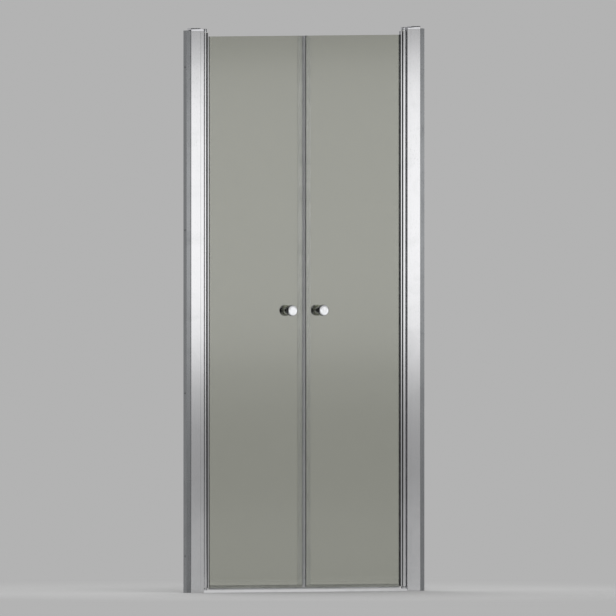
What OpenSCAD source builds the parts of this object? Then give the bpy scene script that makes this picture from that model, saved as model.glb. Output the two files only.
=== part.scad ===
// Niche shower door with two glass leaves that swing both ways.
// Each leaf is held in a round column that turns on pins between two brackets,
// and the brackets are screwed into a post that telescopes over a wall channel.
// Origin: middle of the sill's underside. X runs along the opening, -Y faces the room, Z is up.
// The left half is drawn with X measured from the left wall, and the right half is its mirror image.

/* [Opening] */
// Width of the niche, from wall to wall
niche_w = 882; // [760:1:1000]
// Height from the tray to the top of the caps
door_h = 1850; // [1600:5:2100]

/* [Wall channel] */
// Wall thickness of the channel
channel_wall = 2; // [1.5:0.1:3]
// Reach of the channel's flanges from the wall
channel_reach = 40; // [32:1:40]
// Band of the channel that shows between the wall and the post
wall_gap = 15.5; // [10:0.5:25]
// Clearance between the channel and the post that slides over it
slide_clear = 0.2; // [0.1:0.05:0.5]
// Diameter of the holes for the wall screws
wall_hole_d = 5.5; // [4:0.5:7]
// Distance of the outermost wall holes from the channel's ends
wall_hole_end = 120; // [60:5:300]
// Number of wall holes
wall_holes = 4; // [2:1:6]

/* [Post] */
// Width of the post's face
post_w = 48; // [46:1:60]
// Depth of the post, from front to back
post_d = 26; // [25:0.5:34]
// Wall thickness of the post
post_wall = 1.8; // [1.4:0.1:2.4]
// Radius of the post's outer edges
post_round = 1.2; // [0.4:0.2:1.8]
// Depth of the hollow in the post's edge that takes the column
cove_depth = 2; // [1:0.5:3]
// Width of the band beside the column that a groove sets off
band_w = 12.4; // [8:0.2:16]
// Width of the groove along the band
groove_w = 0.9; // [0.5:0.1:1.5]
// Depth of the groove along the band
groove_depth = 0.6; // [0.3:0.1:0.9]

/* [Column] */
// Diameter of the turning column
column_d = 18; // [17:0.5:21]
// Wall thickness of the column round its bore
column_wall = 4.2; // [3.5:0.1:4.6]
// Running clearance between the column and the post
column_clear = 1.2; // [0.8:0.1:2]
// Thickness of the web between the column's bore and the glass slot
column_web = 1.2; // [1:0.1:2]
// Thickness of the jaw's two cheeks
jaw_wall = 2.2; // [1.9:0.1:2.6]
// Radius of the grooves between the tube and the cheeks
jaw_groove_r = 1.6; // [1.3:0.1:1.9]
// Depth of those grooves
jaw_groove_depth = 1.1; // [0.8:0.1:1.2]
// Radius of the jaw's outer edges
jaw_round = 0.8; // [0.2:0.1:1.2]

/* [Glass] */
// Thickness of the glass
glass_t = 6; // [5:0.5:7]
// Depth of glass held in the jaw
glass_bite = 5.5; // [5:0.5:10]
// Drop from the top of the caps to the top of the glass
glass_drop = 28; // [24:1:60]
// Gap between the two leaves' glass edges
edge_gap = 12.6; // [9:0.2:16]
// Corner radius of the glass
glass_corner = 3; // [1:0.5:8]
// Width of the ground arris along the glass edges
arris = 0.5; // [0.2:0.1:1]
// Height of the glass above the bottom bracket
glass_lift = 0.5; // [0.4:0.1:4]

/* [Gasket and seals] */
// Thickness of the glazing gasket
gasket_t = 1.3; // [0.8:0.1:1.6]
// Width of the gasket's lips outside the jaw
gasket_lip = 4.4; // [1.6:0.2:6]
// Thickness of the gasket's lips outside the jaw
gasket_lip_t = 2.2; // [1.6:0.1:2.8]
// Wall thickness of the clear seals
seal_wall = 1; // [0.6:0.1:1.4]
// Clearance between a part and the part that it is fitted on
fit = 0.1; // [0.05:0.05:0.2]
// Length of the meeting seal's legs on the glass
meeting_leg = 18; // [8:0.5:24]
// Clearance between the two meeting seals
meeting_clear = 1; // [0.6:0.1:2]
// Radius of the meeting seal's bulb
bulb_r = 3.4; // [2.6:0.1:4]
// Height of the sweep's legs on the glass
sweep_leg = 9; // [6:0.5:14]
// Clearance between the sweep and the sill
sweep_clear = 1.5; // [0.5:0.1:3]
// Spread of the sweep's drip lips beyond its legs
drip_spread = 2.6; // [1:0.1:4]
// Clearance between the post's seal and the column
post_seal_clear = 0.4; // [0.3:0.05:0.7]
// Share of the cove's arc that the post's seal fills
post_seal_share = 0.7; // [0.4:0.05:0.95]

/* [Pivots] */
// Thickness of the bracket's arm
arm_t = 6; // [5:0.5:9]
// Half the width of the bracket's arm where it leaves the post
arm_half = 5.5; // [5:0.5:8]
// Width of the bracket's block inside the post
block_w = 11; // [9:0.5:13]
// Height of the bracket's block
block_h = 26; // [22:1:40]
// Diameter of the pivot pin
pin_d = 6; // [4:0.5:7]
// Length of the pin inside the bush
pin_reach = 14; // [8:1:16]
// Running clearance between the pin and the bush, on the radius
pin_clear = 0.05; // [0.02:0.01:0.1]
// Chamfer on the tip of the pin
pin_chamfer = 0.7; // [0.3:0.1:1.2]
// Length of the bush inside the column
bush_l = 18; // [17:1:30]
// Thickness of the bush's flange
flange_t = 1.5; // [1:0.1:3]
// Clearance between the bush's flange and the bracket
thrust_gap = 0.3; // [0.2:0.05:0.5]

/* [Sill] */
// Height of the sill
sill_h = 8; // [6:0.5:14]
// Width of the sill's flat top
sill_top_w = 19; // [14:1:25]
// Wall thickness of the sill
sill_wall = 1.5; // [1:0.1:2]

/* [Cap] */
// Height of the cap over the post
cap_h = 8; // [6:0.5:16]
// Step down from the cap's top to its lobe
cap_step = 3; // [1:0.5:3.5]
// Wall thickness of the cap
cap_wall = 2; // [1.5:0.1:2.5]
// Depth of the cap's plug inside the post
plug_h = 9; // [5:0.5:20]

/* [Knobs] */
// Height of the knobs above the tray
knob_z = 922; // [700:1:1200]
// Distance of the knobs from the middle of the door
knob_inset = 58; // [45:1:120]
// Diameter of the knob's head
knob_d = 36; // [28:1:50]
// Diameter of the knob's flat face
knob_face_d = 29; // [20:1:29]
// Thickness of the knob's head
knob_head = 15; // [8:0.5:16]
// Reach of the knob from its washer
knob_reach = 30; // [28:1:45]
// Diameter of the knob's neck
knob_neck_d = 17; // [14:0.5:20]
// Diameter of the knob's foot
knob_foot_d = 21; // [20.5:0.5:26]
// Height of the knob's foot
knob_foot_h = 2.5; // [1.5:0.5:4]
// Radius of the flare from the neck to the head
knob_flare = 5; // [2:0.5:6]
// Thickness of the washer between the knob and the glass
washer_t = 1; // [0.5:0.1:2]
// Diameter of the stud that joins the two knobs
stud_d = 6; // [4:0.5:8]
// Depth of the stud in each knob
stud_depth = 11; // [6:0.5:14]
// Diameter of the hole in the glass
glass_hole_d = 12; // [9:0.5:16]

/* [Screws] */
// Diameter of the screws in the post
screw_d = 4; // [3:0.5:5]
// Diameter of the screw heads
screw_head_d = 7.6; // [6:0.2:9]
// Height of the screw heads
screw_head_h = 2.4; // [1.6:0.1:3.2]
// Length of the cross recess in the screw heads
recess_l = 4; // [2:0.2:4.6]
// Width of the cross recess in the screw heads
recess_w = 1; // [0.6:0.1:1.4]
// Depth of the cross recess in the screw heads
recess_depth = 1.3; // [0.6:0.1:1.5]
// Length of the bracket's screws
bracket_screw_l = 12; // [8:0.5:16]
// Length of the screws between the post and the channel
post_screw_l = 8; // [6:0.5:10]
// Distance of the outermost post screws from the post's ends
post_screw_end = 200; // [80:5:400]
// Number of screws between each post and its channel
post_screws = 3; // [2:1:6]

/* [Hidden] */
$fn = 64;
past = 1;                 // how far a cut runs past the face that it opens
pressed = 0.02;           // gap round a pressed or threaded shank, on the radius

half_w = niche_w / 2;
post_x0 = wall_gap;
post_x1 = post_x0 + post_w;
post_top = door_h - cap_h;
post_half = post_d / 2;
chamber_half = post_half - post_wall;
channel_half = chamber_half - slide_clear;

column_r = column_d / 2;
cove_r = column_r + column_clear;
axis_x = post_x1 - cove_depth + cove_r;
end_wall_x = post_x1 - cove_depth - post_wall;
rib_x = end_wall_x - block_w - 2 * slide_clear - post_wall;
screw_x = end_wall_x - slide_clear - block_w / 2;

bore_r = column_r - column_wall;
slot_x = bore_r + column_web;
slot_half = glass_t / 2 + gasket_t + fit;
jaw_half = slot_half + jaw_wall;
jaw_reach = slot_x + gasket_t + glass_bite;

arm_top = sill_h + arm_t;
column_z0 = arm_top + thrust_gap + flange_t;
column_z1 = post_top - arm_t - thrust_gap - flange_t;

glass_x0 = axis_x + slot_x + gasket_t;
glass_x1 = half_w - edge_gap / 2;
glass_z0 = arm_top + glass_lift;
glass_z1 = door_h - glass_drop;

clip_half = glass_t / 2 + fit;
clip_outer = clip_half + seal_wall;
nose = (edge_gap - meeting_clear) / 2;
sweep_x0 = axis_x + jaw_reach + gasket_lip;
sweep_x1 = half_w - meeting_clear / 2;

knob_x = half_w - knob_inset;
knob_y = glass_t / 2 + washer_t;
block_half = chamber_half - slide_clear;

// Places on a line of count points that keep their distance from both ends
function spread(low, high, count) = [for (i = [0 : count - 1]) low + (high - low) * i / (count - 1)];

wall_hole_z = spread(wall_hole_end, post_top - wall_hole_end, wall_holes);
post_screw_z = spread(post_screw_end, post_top - post_screw_end, post_screws);

// The two halves: X from the left wall, and its mirror image
module on_left() {
    translate([-half_w, 0, 0]) children();
}

module on_right() {
    mirror([1, 0, 0]) on_left() children();
}

// Rectangle from (x0, y0) to (x1, y1) with round corners
module rounded(x0, y0, x1, y1, r) {
    translate([x0 + r, y0]) square([x1 - x0 - 2 * r, y1 - y0]);
    translate([x0, y0 + r]) square([x1 - x0, y1 - y0 - 2 * r]);
    for (x = [x0 + r, x1 - r], y = [y0 + r, y1 - r])
        translate([x, y]) circle(r);
}

// Rectangle that lies evenly on both sides of the X axis
module band(x0, x1, half) {
    translate([x0, -half]) square([x1 - x0, 2 * half]);
}

// Outline that starts with the given right half and comes back down its mirror image
function both_sides(half) = concat(half, [for (i = [len(half) - 1 : -1 : 0]) [-half[i][0], half[i][1]]]);

// Extrudes a plan section from one height to another
module upright(z0, z1) {
    translate([0, 0, z0]) linear_extrude(z1 - z0) children();
}

// Turns a shape drawn up the Z axis so that it points towards the shower, +Y
module facing_in() {
    rotate([-90, 0, 0]) children();
}

// Aluminium U that is screwed to the wall and that the post slides over
module wall_channel() {
    color("lightgray") difference() {
        upright(0, post_top) difference() {
            band(0, channel_reach, channel_half);
            band(channel_wall, channel_reach + past, channel_half - channel_wall);
        }
        for (z = wall_hole_z)
            translate([-past, 0, z]) rotate([0, 90, 0])
                cylinder(h = channel_wall + 2 * past, d = wall_hole_d);
        for (z = post_screw_z)
            translate([post_screw_x(), 0, z]) facing_in()
                cylinder(h = channel_half + past, r = screw_d / 2 + pressed);
    }
}

// Where the screws between post and channel stand: midway along the lap of the two
function post_screw_x() = (post_x0 + channel_reach) / 2;

// Section of the post: a mouth for the channel, a rib, a chamber for the brackets and the cove
module post_section() {
    difference() {
        rounded(post_x0, -post_half, post_x1, post_half, post_round);
        band(post_x0 - past, rib_x, chamber_half);
        band(rib_x + post_wall, end_wall_x, chamber_half);
        translate([axis_x, 0]) circle(cove_r);
        for (side = [-1, 1])
            translate([post_x1 - band_w, side * post_half])
                square([groove_w, 2 * groove_depth], center = true);
    }
}

// Bright extrusion that frames the opening and carries the pivots
module post() {
    notch_half = arm_half + slide_clear;
    color("gainsboro") difference() {
        upright(0, post_top) post_section();
        upright(-past, arm_top + slide_clear)
            band(end_wall_x - past, post_x1 + past, notch_half);
        upright(post_top - arm_t - slide_clear, post_top + past)
            band(end_wall_x - past, post_x1 + past, notch_half);
        for (z = bracket_screw_z())
            translate([screw_x, 0, z]) facing_in()
                cylinder(h = post_half + past, r = screw_d / 2 + fit);
        for (z = post_screw_z)
            translate([post_screw_x(), 0, z]) facing_in()
                cylinder(h = post_half + past, r = screw_d / 2 + fit);
    }
}

// Heights of the screws in the brackets: two in each block, clear of the arm
function bracket_screw_z() = [
    for (step = [1, 3]) arm_top + (block_h - arm_t) * step / 4,
    for (step = [1, 3]) post_top - arm_t - (block_h - arm_t) * step / 4
];

// Plan outline of a bracket's arm from x0 to its round end, which lines up with the column
module arm_outline(x0) {
    band(x0, axis_x, arm_half);
    translate([axis_x, 0]) circle(column_r);
}

// Bright plated cap that closes the post, with a lower lobe over the top bracket's arm
module top_cap() {
    lobe_h = cap_h - cap_step;
    step_x = post_x1 - band_w;
    plug_half = channel_half - channel_wall - slide_clear;
    plug_x0 = post_x0 + cap_wall;
    color("whitesmoke") {
        difference() {
            union() {
                upright(post_top, door_h) rounded(post_x0, -post_half, step_x, post_half, post_round);
                upright(post_top, post_top + lobe_h) {
                    rounded(post_x0, -post_half, post_x1, post_half, post_round);
                    arm_outline(step_x);
                }
            }
            upright(post_top - past, door_h - cap_wall)
                band(post_x0 + cap_wall, step_x - cap_wall, chamber_half);
            upright(post_top - past, post_top + lobe_h - cap_wall) {
                band(step_x, end_wall_x, chamber_half);
                translate([axis_x, 0]) circle(column_r - cap_wall);
            }
        }
        upright(post_top - plug_h, door_h - cap_wall) difference() {
            band(plug_x0, channel_reach - cap_wall, plug_half);
            band(plug_x0 + cap_wall, channel_reach + past, plug_half - cap_wall);
        }
    }
}

// Soft strip in the cove that wipes the column
module post_seal() {
    half_angle = post_seal_share * acos((cove_r - cove_depth) / cove_r);
    color("dimgray") upright(arm_top + slide_clear, post_top - arm_t - slide_clear)
        translate([axis_x, 0]) difference() {
            intersection() {
                circle(cove_r);
                polygon([[0, 0], 2 * cove_r * [-cos(half_angle), sin(half_angle)],
                    2 * cove_r * [-cos(half_angle), -sin(half_angle)]]);
            }
            circle(column_r + post_seal_clear);
        }
}

// Cast bracket with a block inside the post and an arm out to the pivot, drawn at the bottom
module pivot_bracket() {
    block_x0 = end_wall_x - slide_clear - block_w;
    color("silver") difference() {
        union() {
            upright(sill_h, sill_h + block_h) rounded(block_x0, -block_half,
                block_x0 + block_w, block_half, post_round);
            upright(sill_h, arm_top) {
                arm_outline(block_x0 + block_w / 2);
            }
        }
        translate([axis_x, 0, sill_h - past])
            cylinder(h = arm_t + 2 * past, r = pin_d / 2 + pressed);
        for (i = [0, 1])
            translate([screw_x, 0, bracket_screw_z()[i]]) facing_in()
                cylinder(h = post_half, r = screw_d / 2 + pressed);
    }
}

// Carries a shape from the bottom pivot to the top one, turned over
module to_top() {
    translate([0, 0, sill_h + post_top]) mirror([0, 0, 1]) children();
}

// Steel pin pressed into the bracket's arm, drawn at the bottom pivot
module pivot_pin() {
    straight = arm_t + thrust_gap + flange_t + pin_reach - pin_chamfer;
    color("darkgray") translate([axis_x, 0, sill_h]) {
        cylinder(h = straight, d = pin_d);
        translate([0, 0, straight])
            cylinder(h = pin_chamfer, d1 = pin_d, d2 = pin_d - 2 * pin_chamfer);
    }
}

// Nylon bush in the end of the column, which turns on the pin, drawn at the bottom pivot
module pivot_bush() {
    flange_r = slot_x + gasket_t - thrust_gap;
    color("white") translate([axis_x, 0, column_z0 - flange_t]) difference() {
        union() {
            cylinder(h = flange_t, r = flange_r);
            cylinder(h = flange_t + bush_l, r = bore_r - pressed);
        }
        translate([0, 0, -past])
            cylinder(h = flange_t + bush_l + 2 * past, r = pin_d / 2 + pin_clear);
    }
}

// Pan-head screw with a cross recess, its head's underside at the origin and its shank down
module pan_screw(length) {
    dome_r = (pow(screw_head_d / 2, 2) + pow(screw_head_h, 2)) / (2 * screw_head_h);
    translate([0, 0, -length]) cylinder(h = length, d = screw_d);
    difference() {
        intersection() {
            cylinder(h = screw_head_h, d = screw_head_d);
            translate([0, 0, screw_head_h - dome_r]) sphere(dome_r);
        }
        for (turn = [0, 90])
            rotate(turn) translate([-recess_l / 2, -recess_w / 2, screw_head_h - recess_depth])
                cube([recess_l, recess_w, screw_head_h]);
    }
}

// Screws through the back of the post into both brackets
module bracket_screw_set() {
    color("lightgray") for (z = bracket_screw_z())
        translate([screw_x, post_half, z]) facing_in() pan_screw(bracket_screw_l);
}

// Screws through the back of the post into the channel
module post_screw_set() {
    color("lightgray") for (z = post_screw_z)
        translate([post_screw_x(), post_half, z]) facing_in() pan_screw(post_screw_l);
}

// Low hollow threshold between the posts
module sill() {
    top_half = sill_top_w / 2;
    rib_half = sill_wall / 2;
    slant = (post_half - top_half) / sill_h;
    core_low = post_half - sill_wall * (1 + slant);
    core_high = top_half - sill_wall * (1 - slant);
    color("gainsboro") translate([post_x1 - half_w, 0, 0]) rotate([90, 0, 90])
        linear_extrude(niche_w - 2 * post_x1) difference() {
            polygon([[-post_half, 0], [post_half, 0], [top_half, sill_h], [-top_half, sill_h]]);
            for (side = [-1, 1])
                polygon([[side * rib_half, sill_wall], [side * core_low, sill_wall],
                    [side * core_high, sill_h - sill_wall], [side * rib_half, sill_h - sill_wall]]);
        }
}

// Section of the column about its own axis: a round tube, a jaw for the glass, and grooves between
module column_section() {
    rise = jaw_groove_r - jaw_groove_depth;
    groove_x = sqrt(pow(column_r, 2) - pow(jaw_half, 2)) + sqrt(pow(jaw_groove_r, 2) - pow(rise, 2));
    difference() {
        union() {
            circle(column_r);
            rounded(0, -jaw_half, jaw_reach, jaw_half, jaw_round);
        }
        circle(bore_r);
        band(slot_x, jaw_reach + past, slot_half);
        for (side = [-1, 1])
            translate([groove_x, side * (jaw_half + rise)]) circle(jaw_groove_r);
    }
}

// Bright turning column that holds the edge of the glass over its whole height
module column() {
    color("silver") upright(column_z0, column_z1) translate([axis_x, 0]) column_section();
}

// Gasket folded round the edge of the glass, with a lip outside the jaw
module glazing_gasket() {
    mouth_x = axis_x + jaw_reach;
    lip_half = glass_t / 2 + gasket_lip_t;
    color("darkslategray") upright(column_z0, glass_z1) difference() {
        union() {
            band(axis_x + slot_x, mouth_x + jaw_round, slot_half - fit);
            rounded(mouth_x, -lip_half, mouth_x + gasket_lip, lip_half, jaw_round);
        }
        band(glass_x0, mouth_x + gasket_lip + past, glass_t / 2);
    }
}

// Toughened glass pane with ground edges and a hole for the knobs' stud
module glass() {
    half_t = glass_t / 2;
    flat = half_t - arris;
    color("lightcyan", 0.4) difference() {
        intersection() {
            rotate([90, 0, 0]) linear_extrude(2 * glass_t, center = true)
                rounded(glass_x0, glass_z0, glass_x1, glass_z1, glass_corner);
            upright(glass_z0, glass_z1)
                polygon([[glass_x0, -flat], [glass_x0 + arris, -half_t], [glass_x1 - arris, -half_t],
                    [glass_x1, -flat], [glass_x1, flat], [glass_x1 - arris, half_t],
                    [glass_x0 + arris, half_t], [glass_x0, flat]]);
        }
        translate([knob_x, 0, knob_z]) facing_in()
            cylinder(h = 2 * glass_t, d = glass_hole_d, center = true);
    }
}

// Clear seal on the free edge of the glass: two legs and a hollow bulb
module meeting_seal() {
    color("azure", 0.6) upright(glass_z0 + sweep_leg + slide_clear, glass_z1) translate([glass_x1, 0]) {
        difference() {
            band(-meeting_leg, fit + seal_wall, clip_outer);
            band(-meeting_leg - past, fit, clip_half);
        }
        difference() {
            translate([nose - bulb_r, 0]) circle(bulb_r);
            translate([nose - bulb_r, 0]) circle(bulb_r - seal_wall);
            band(-2 * bulb_r, fit, 2 * bulb_r);
        }
    }
}

// Clear seal on the bottom edge of the glass: two legs, two drip lips and a blade
module sweep() {
    top_z = glass_z0 + sweep_leg;
    base_z = glass_z0 - fit - seal_wall;
    tip_z = sill_h + sweep_clear;
    drip_half = clip_outer + drip_spread;
    half_outline = [[seal_wall / 2, tip_z], [seal_wall / 2, base_z], [clip_half, base_z],
        [drip_half - seal_wall, tip_z + seal_wall / 2], [drip_half, tip_z + seal_wall],
        [clip_outer, base_z + seal_wall / 2], [clip_outer, top_z]];
    color("azure", 0.6) translate([sweep_x0, 0, 0]) rotate([90, 0, 90])
        linear_extrude(sweep_x1 - sweep_x0) difference() {
            polygon(both_sides(half_outline));
            translate([-clip_half, glass_z0 - fit]) square([2 * clip_half, sweep_leg + past]);
        }
}

// Section of the knob beside its axis, with its foot on the X axis
module knob_section() {
    head_y = knob_reach - knob_head;
    bevel = (knob_d - knob_face_d) / 2;
    square([knob_foot_d / 2, knob_foot_h]);
    square([knob_neck_d / 2, head_y]);
    difference() {
        translate([0, head_y - knob_flare]) square([knob_neck_d / 2 + knob_flare, knob_flare]);
        translate([knob_neck_d / 2 + knob_flare, head_y - knob_flare]) circle(knob_flare);
    }
    difference() {
        translate([0, head_y]) square([knob_d / 2, knob_head]);
        translate([knob_d / 2 - bevel, knob_reach - bevel]) square(bevel + past);
    }
    intersection() {
        translate([knob_d / 2 - bevel, knob_reach - bevel]) circle(bevel);
        translate([0, head_y]) square([knob_d / 2, knob_head]);
    }
}

// Turned knob on the room side, bored for the stud
module outer_knob() {
    color("whitesmoke") translate([knob_x, -knob_y, knob_z]) rotate([90, 0, 0]) difference() {
        rotate_extrude() knob_section();
        translate([0, 0, -past]) cylinder(h = stud_depth + past, r = stud_d / 2 + pressed);
    }
}

// The same knob on the shower side
module inner_knob() {
    mirror([0, 1, 0]) outer_knob();
}

// Threaded stud through the glass, screwed into both knobs
module knob_stud() {
    color("darkgray") translate([knob_x, 0, knob_z]) facing_in()
        cylinder(h = 2 * (knob_y + stud_depth - fit), d = stud_d, center = true);
}

// Clear washers that keep the knobs off the glass, each with a spigot in the glass's hole
module knob_washers() {
    color("azure", 0.6) for (side = [0, 1])
        translate([knob_x, 0, knob_z]) mirror([0, side, 0]) facing_in() difference() {
            union() {
                translate([0, 0, glass_t / 2]) cylinder(h = washer_t, d = knob_foot_d);
                translate([0, 0, fit]) cylinder(h = glass_t / 2, r = glass_hole_d / 2 - fit);
            }
            cylinder(h = glass_t, r = stud_d / 2 + fit);
        }
}

on_left() wall_channel();  // left_wall_channel
on_right() wall_channel();  // right_wall_channel
on_left() post();  // left_post
on_right() post();  // right_post
on_left() top_cap();  // left_top_cap
on_right() top_cap();  // right_top_cap
on_left() post_seal();  // left_post_seal
on_right() post_seal();  // right_post_seal
on_left() to_top() pivot_bracket();  // left_top_bracket
on_right() to_top() pivot_bracket();  // right_top_bracket
on_left() pivot_bracket();  // left_bottom_bracket
on_right() pivot_bracket();  // right_bottom_bracket
on_left() to_top() pivot_pin();  // left_top_pin
on_right() to_top() pivot_pin();  // right_top_pin
on_left() pivot_pin();  // left_bottom_pin
on_right() pivot_pin();  // right_bottom_pin
on_left() bracket_screw_set();  // left_bracket_screws
on_right() bracket_screw_set();  // right_bracket_screws
on_left() post_screw_set();  // left_post_screws
on_right() post_screw_set();  // right_post_screws
sill();
on_left() column();  // left_column
on_right() column();  // right_column
on_left() to_top() pivot_bush();  // left_top_bush
on_right() to_top() pivot_bush();  // right_top_bush
on_left() pivot_bush();  // left_bottom_bush
on_right() pivot_bush();  // right_bottom_bush
on_left() glazing_gasket();  // left_glazing_gasket
on_right() glazing_gasket();  // right_glazing_gasket
on_left() glass();  // left_glass
on_right() glass();  // right_glass
on_left() meeting_seal();  // left_meeting_seal
on_right() meeting_seal();  // right_meeting_seal
on_left() sweep();  // left_sweep
on_right() sweep();  // right_sweep
on_left() outer_knob();  // left_outer_knob
on_right() outer_knob();  // right_outer_knob
on_left() inner_knob();  // left_inner_knob
on_right() inner_knob();  // right_inner_knob
on_left() knob_stud();  // left_knob_stud
on_right() knob_stud();  // right_knob_stud
on_left() knob_washers();  // left_knob_washers
on_right() knob_washers();  // right_knob_washers
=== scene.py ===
import bmesh
import bpy
import math
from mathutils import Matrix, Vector


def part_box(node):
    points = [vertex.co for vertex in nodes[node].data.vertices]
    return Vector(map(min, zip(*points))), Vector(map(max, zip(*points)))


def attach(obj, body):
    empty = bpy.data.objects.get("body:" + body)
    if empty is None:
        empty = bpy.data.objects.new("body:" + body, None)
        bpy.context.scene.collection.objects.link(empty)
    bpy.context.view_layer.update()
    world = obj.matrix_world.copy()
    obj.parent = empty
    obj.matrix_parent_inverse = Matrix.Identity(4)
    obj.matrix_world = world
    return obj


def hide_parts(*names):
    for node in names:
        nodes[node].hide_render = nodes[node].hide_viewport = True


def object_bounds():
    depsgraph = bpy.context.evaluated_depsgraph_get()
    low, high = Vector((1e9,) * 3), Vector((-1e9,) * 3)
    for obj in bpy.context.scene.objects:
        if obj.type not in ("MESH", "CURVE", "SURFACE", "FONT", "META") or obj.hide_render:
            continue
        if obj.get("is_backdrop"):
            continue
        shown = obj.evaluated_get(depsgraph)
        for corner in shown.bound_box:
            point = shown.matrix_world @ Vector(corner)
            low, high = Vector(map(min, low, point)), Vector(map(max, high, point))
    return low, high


# Shower door with two swinging glass leaves. Metres, X along the opening, -Y towards the room, Z up.
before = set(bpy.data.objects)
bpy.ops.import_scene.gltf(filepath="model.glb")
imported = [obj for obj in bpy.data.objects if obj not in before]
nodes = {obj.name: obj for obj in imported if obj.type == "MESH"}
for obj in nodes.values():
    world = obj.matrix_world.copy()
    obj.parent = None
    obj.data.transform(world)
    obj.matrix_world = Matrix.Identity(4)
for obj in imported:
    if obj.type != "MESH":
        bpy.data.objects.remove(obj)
scene = bpy.context.scene
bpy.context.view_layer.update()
print("frame loaded,", len(nodes), "nodes")

door = {"axisX": 0.3693, "glassEdge": 0.0063, "knobX": 0.058, "knobZ": 0.922}
sides = (("left", -1), ("right", 1))
weldGap = 0.000002


def linked(obj):
    scene.collection.objects.link(obj)
    return obj


# Camera
cameraView = {"azimuth": -28, "elevation": 1, "width": 2.0177, "distance": 3.2,
              "aimAcross": 0.01343, "aimHeight": 0.9296}


def makeCamera(s):
    turn, rise = math.radians(s["azimuth"]), math.radians(s["elevation"])
    back = Vector((math.sin(turn) * math.cos(rise), -math.cos(turn) * math.cos(rise), math.sin(rise)))
    across = Vector((math.cos(turn), math.sin(turn), 0))
    data = bpy.data.cameras.new("camera")
    data.type = "ORTHO"
    data.ortho_scale = s["width"]
    camera = linked(bpy.data.objects.new("camera", data))
    camera.location = across * s["aimAcross"] + Vector((0, 0, s["aimHeight"])) + back * s["distance"]
    camera.rotation_mode = "QUATERNION"
    camera.rotation_quaternion = (-back).to_track_quat("-Z", "Y")
    return camera


scene.camera = makeCamera(cameraView)
scene.view_settings.view_transform = "Standard"
print("camera placed")


# Node helpers
def put(tree, kind, values=None, **settings):
    node = tree.nodes.new(kind)
    for key, value in settings.items():
        setattr(node, key, value)
    for key, value in (values or {}).items():
        node.inputs[key].default_value = value
    return node


def wire(tree, *pairs):
    for source, target in pairs:
        tree.links.new(source, target)


def remap(tree, source, fromLow, fromHigh, toLow, toHigh, smooth=False):
    node = put(tree, "ShaderNodeMapRange", {1: fromLow, 2: fromHigh, 3: toLow, 4: toHigh},
               interpolation_type="SMOOTHSTEP" if smooth else "LINEAR")
    wire(tree, (source, node.inputs[0]))
    return node.outputs[0]


def combine(tree, operation, *parts):
    node = put(tree, "ShaderNodeMath", operation=operation)
    for socket, part in zip(node.inputs, parts):
        if isinstance(part, (int, float)):
            socket.default_value = part
        else:
            wire(tree, (part, socket))
    return node.outputs[0]


def scaled(tree, source, amount):
    return combine(tree, "MULTIPLY", source, amount)


def distance(tree, first, second):
    squares = combine(tree, "ADD", combine(tree, "MULTIPLY", first, first),
                      combine(tree, "MULTIPLY", second, second))
    return combine(tree, "SQRT", squares)


def objectAxes(tree):  # X, Y and Z of each point of the surface
    place = put(tree, "ShaderNodeTexCoord")
    split = put(tree, "ShaderNodeSeparateXYZ")
    wire(tree, (place.outputs["Object"], split.inputs[0]))
    return split.outputs


def newGroup(name, inputs, output):
    tree = bpy.data.node_groups.new(name, "ShaderNodeTree")
    for label, kind, value in inputs:
        tree.interface.new_socket(label, in_out="INPUT", socket_type=kind).default_value = value
    tree.interface.new_socket(output, in_out="OUTPUT", socket_type="NodeSocketFloat")
    return tree, tree.nodes.new("NodeGroupInput").outputs, tree.nodes.new("NodeGroupOutput").inputs


# Effects that several finishes share
lineEffect = {"stretch": (900, 900, 5), "detail": 4.0, "roughness": 0.6, "low": 0.3, "high": 0.7}
spotEffect = {"scale": 120.0, "cover": 0.5, "ringInner": 0.10, "ringPeak": 0.20, "ringOuter": 0.27,
              "patchScale": 6.0, "patchDetail": 3.0, "patchLow": 0.45, "patchHigh": 0.65}
smudgeEffect = {"scale": 14.0, "detail": 5.0, "roughness": 0.6, "distortion": 0.8, "low": 0.42, "high": 0.72}
dustEffect = {"scale": 90.0, "detail": 6.0, "roughness": 0.7, "tiltLow": 0.4, "tiltHigh": 0.95,
              "grainLow": 0.4, "grainHigh": 0.7, "thinnest": 0.2}


def drawnLines(s):  # fine lines along an extrusion
    tree, given, result = newGroup("drawnLines", [("Stretch", "NodeSocketVector", s["stretch"])], "Lines")
    place = put(tree, "ShaderNodeTexCoord")
    stretch = put(tree, "ShaderNodeMapping")
    fine = put(tree, "ShaderNodeTexNoise", {"Scale": 1.0, "Detail": s["detail"], "Roughness": s["roughness"]})
    wire(tree, (place.outputs["Object"], stretch.inputs["Vector"]),
         (given["Stretch"], stretch.inputs["Scale"]), (stretch.outputs["Vector"], fine.inputs["Vector"]),
         (remap(tree, fine.outputs["Fac"], s["low"], s["high"], 0, 1), result["Lines"]))
    return tree


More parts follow.
